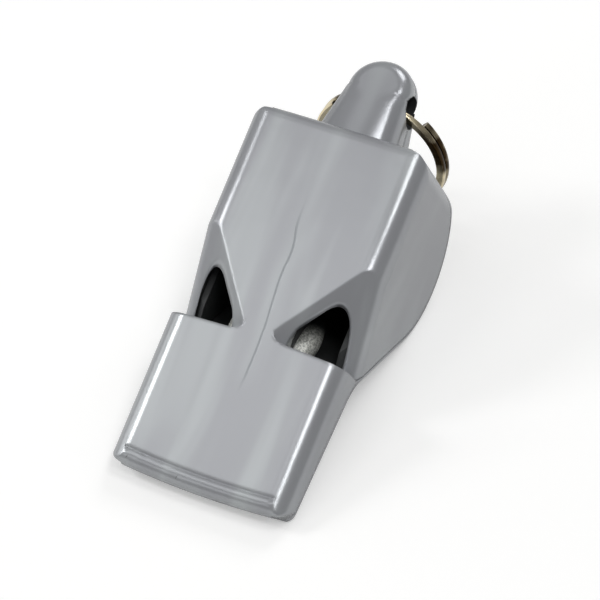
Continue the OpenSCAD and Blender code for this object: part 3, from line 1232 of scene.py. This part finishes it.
@dataclass
class SplitRing:
    """Split ring: flattened wire wound into two turns that step past each other at the top."""

    outer_d_mm: float = 16.6
    wire_w_mm: float = 1.05
    wire_t_mm: float = 0.76
    turn_gap_mm: float = 0.16
    end_deg: float = 44.0
    step_deg: float = 26.0
    corner_mm: float = 0.26
    corner_steps: int = 5
    path_step_deg: float = 3.0
    crease_deg: float = 50.0
    name: str = "split_ring_wire"

    def path(self) -> list[Vector]:
        """Gives the middle of the wire, in the ring's own axes with its axis along Z.

        Returns:
            Points of the path in metres, from one end of the wire to the other.
        """
        radius = (self.outer_d_mm - self.wire_w_mm) / 2 * MM
        half_pitch = (self.wire_t_mm + self.turn_gap_mm) / 2 * MM
        total = 720.0 - 2 * self.end_deg
        count = round(total / self.path_step_deg)
        points = []
        for i in range(count + 1):
            angle = self.end_deg + total * i / count
            part = (angle - 360.0) / self.step_deg
            if abs(part) >= 1:
                side = math.copysign(half_pitch, part)
            else:
                side = half_pitch * math.sin(math.pi / 2 * part)
            turn = math.radians(angle)
            points.append(Vector((radius * math.sin(turn), radius * math.cos(turn), side)))
        return points

    def sweep_tree(self) -> bpy.types.NodeTree:
        """Builds the node tree that sweeps the wire's flat section along its path.

        Returns:
            The tree, with named inputs for the section's width, thickness and corner.
        """
        tree = bpy.data.node_groups.new("flat_wire_sweep", "GeometryNodeTree")
        tree.interface.new_socket("Geometry", in_out="INPUT", socket_type="NodeSocketGeometry")
        for label in ("Wire width", "Wire thickness", "Wire corner"):
            tree.interface.new_socket(label, in_out="INPUT", socket_type="NodeSocketFloat")
        tree.interface.new_socket("Finish", in_out="INPUT", socket_type="NodeSocketMaterial")
        tree.interface.new_socket("Geometry", in_out="OUTPUT", socket_type="NodeSocketGeometry")
        start = add_node(tree, "NodeGroupInput")
        curve = add_node(tree, "GeometryNodeMeshToCurve", {"Mesh": start.outputs["Geometry"]})
        upright = add_node(
            tree, "GeometryNodeSetCurveNormal", {"Curve": curve.outputs["Curve"]}, mode="Z_UP"
        )
        flat = add_node(
            tree,
            "GeometryNodeCurvePrimitiveQuadrilateral",
            {
                "Width": start.outputs["Wire width"],
                "Height": start.outputs["Wire thickness"],
            },
        )
        section = add_node(
            tree,
            "GeometryNodeFilletCurve",
            {
                "Curve": flat.outputs["Curve"],
                "Radius": start.outputs["Wire corner"],
                "Count": self.corner_steps,
                "Limit Radius": True,
            },
            mode="POLY",
        )
        sweep = add_node(
            tree,
            "GeometryNodeCurveToMesh",
            {
                "Curve": upright.outputs["Curve"],
                "Profile Curve": section.outputs["Curve"],
                "Fill Caps": True,
            },
        )
        real = add_node(
            tree, "GeometryNodeRealizeInstances", {"Geometry": sweep.outputs["Mesh"]}
        )
        finish = add_node(
            tree,
            "GeometryNodeSetMaterial",
            {"Geometry": real.outputs["Geometry"], "Material": start.outputs["Finish"]},
        )
        add_node(tree, "NodeGroupOutput", {"Geometry": finish.outputs["Geometry"]})
        return tree

    def build(self, material: bpy.types.Material) -> bpy.types.Object:
        """Builds the ring where the CAD's ring hangs.

        Args:
            material: Finish of the wire.

        Returns:
            The finished ring.
        """
        points = self.path()
        mesh = bpy.data.meshes.new(self.name)
        mesh.from_pydata(points, [(i, i + 1) for i in range(len(points) - 1)], [])
        raw = add_object(self.name + "_path", mesh)
        tree = self.sweep_tree()
        modifier = raw.modifiers.new("sweep", "NODES")
        modifier.node_group = tree
        wanted = {
            "Wire width": self.wire_w_mm * MM,
            "Wire thickness": self.wire_t_mm * MM,
            "Wire corner": self.corner_mm * MM,
            "Finish": material,
        }
        for item in tree.interface.items_tree:
            if item.item_type == "SOCKET" and item.in_out == "INPUT" and item.name in wanted:
                modifier[item.identifier] = wanted[item.name]
        ring = plain_copy(raw, self.name)
        low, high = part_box("split_ring")
        middle = (low + high) / 2
        ring.data.transform(
            Matrix.Translation((0.0, middle.y, low.z + self.outer_d_mm / 2 * MM))
            @ Matrix.Rotation(math.radians(90), 4, "X")
        )
        ring.data.shade_smooth()
        ring.data.set_sharp_from_angle(angle=math.radians(self.crease_deg))
        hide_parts("split_ring")
        return settle(ring, Body.RING)


@dataclass(frozen=True)
class Softbox:
    """A square lamp: the way towards it from the whistle, its width and its power."""

    name: str
    toward: tuple[float, float, float]
    size_mm: float
    watts: float


@dataclass
class Studio:
    """White table, soft lights and the camera at the photograph's angle."""

    camera_at_mm: tuple[float, float, float] = (110.607, -186.929, 240.693)
    camera_turn_deg: tuple[float, float, float] = (42.7432, 3.5475, 26.7999)
    lens_mm: float = 170.229
    sensor_mm: float = 36.0
    sight_m: tuple[float, float] = (0.01, 50.0)
    table_mm: float = 3000.0
    white: str = "#ffffff"
    world_strength: float = 0.235
    mirrored_share: float = 0.06
    aim_mm: tuple[float, float, float] = (0.0, 0.0, 10.0)
    lamp_distance_mm: float = 450.0
    lamps: tuple[Softbox, ...] = (
        Softbox("top_softbox", (-0.35, -0.32, 0.88), 150.0, 0.08),
        Softbox("overhead_softbox", (0.0, -0.35, 0.94), 130.0, 0.07),
        Softbox("left_strip", (-0.71, -0.2, 0.67), 100.0, 0.3),
        Softbox("left_low_strip", (-0.83, -0.38, 0.44), 80.0, 0.14),
        Softbox("left_softbox", (-0.97, -0.1, 0.25), 150.0, 0.09),
        Softbox("right_strip", (0.4, -0.28, 0.87), 95.0, 0.25),
        Softbox("lug_strip", (0.36, 0.1, 0.93), 125.0, 0.3),
        Softbox("lug_softbox", (-0.4, 0.2, 0.9), 220.0, 0.05),
        Softbox("rear_softbox", (0.1, 0.75, 0.65), 180.0, 0.38),
        Softbox("front_softbox", (-0.34, -0.8, 0.48), 130.0, 0.045),
    )

    def build_camera(self) -> bpy.types.Object:
        """Places the camera where the photograph was taken from.

        Returns:
            The camera, set as the scene's own.
        """
        data = bpy.data.cameras.new("photo_camera")
        data.lens = self.lens_mm
        data.sensor_width = self.sensor_mm
        data.sensor_fit = "HORIZONTAL"
        data.clip_start, data.clip_end = self.sight_m
        camera = add_object("photo_camera", data)
        camera.location = Vector(self.camera_at_mm) * MM
        camera.rotation_euler = [math.radians(a) for a in self.camera_turn_deg]
        bpy.context.scene.camera = camera
        return camera

    def build_lamps(self) -> None:
        """Hangs one area lamp for each named softbox, aimed at the whistle."""
        target = Vector(self.aim_mm) * MM
        for softbox in self.lamps:
            data = bpy.data.lights.new(softbox.name, "AREA")
            data.shape = "SQUARE"
            data.size = softbox.size_mm * MM
            data.energy = softbox.watts
            lamp = add_object(softbox.name, data)
            away = Vector(softbox.toward).normalized() * self.lamp_distance_mm * MM
            lamp.location = target + away
            lamp.rotation_euler = (target - lamp.location).to_track_quat("-Z", "Y").to_euler()

    def build_table(self, material: bpy.types.Material) -> bpy.types.Object:
        """Lays the white table under the whistle.

        Args:
            material: Finish of the table.

        Returns:
            The table.
        """
        half = self.table_mm / 2 * MM
        corners = [(-half, -half, 0), (half, -half, 0), (half, half, 0), (-half, half, 0)]
        mesh = bpy.data.meshes.new("table")
        mesh.from_pydata(corners, [], [(0, 1, 2, 3)])
        mesh.materials.append(material)
        table = add_object("table", mesh)
        return table

    def build_world(self) -> None:
        """Gives the world a soft white light and a pure white look to the camera."""
        world = bpy.data.worlds.new("studio_white")
        world.use_nodes = True
        tree = world.node_tree
        tree.nodes.clear()
        soft, clear = (
            add_node(
                tree,
                "ShaderNodeBackground",
                {"Color": linear(self.white), "Strength": strength},
            )
            for strength in (self.world_strength, 1.0)
        )
        both = add_node(
            tree,
            "ShaderNodeMixShader",
            {
                0: background_share(tree, self.mirrored_share),
                1: soft.outputs[0],
                2: clear.outputs[0],
            },
        )
        add_node(tree, "ShaderNodeOutputWorld", {"Surface": both.outputs[0]})
        bpy.context.scene.world = world
        bpy.context.scene.view_settings.view_transform = "Standard"


def main() -> None:
    """Builds the studio and every piece of the whistle."""
    logging.basicConfig(level=logging.INFO, format="%(name)s: %(message)s")
    studio = Studio()
    studio.build_camera()
    studio.build_lamps()
    studio.build_world()
    studio.build_table(TablePaper().build())
    silver = SilverAbs().build()
    # Painted shade for the chambers, the lug's hole and the core
    inside = InnerAbs().build()
    upper = Moulding(
        "upper_shell_moulding", "upper_shell", Slot.SHELL, crown=LugCrown(), rear=RearWall()
    )
    lower = Moulding("lower_shell_moulding", "lower_shell", Slot.SHELL, rear=RearWall())
    core = Moulding("core_moulding", "chamber_insert", Slot.CORE)
    pieces = [
        upper.build(silver, inside),
        lower.build(silver, inside),
        # The core takes the painted shade all over
        core.build(inside),
        WindwayRamps().build(CoreAbs().build()),
        SplitRing().build(NickelSteel().build()),
    ]
    for piece in pieces:
        LOG.info("%s: %d faces", piece.name, len(piece.data.polygons))


if __name__ == "__main__":
    main()
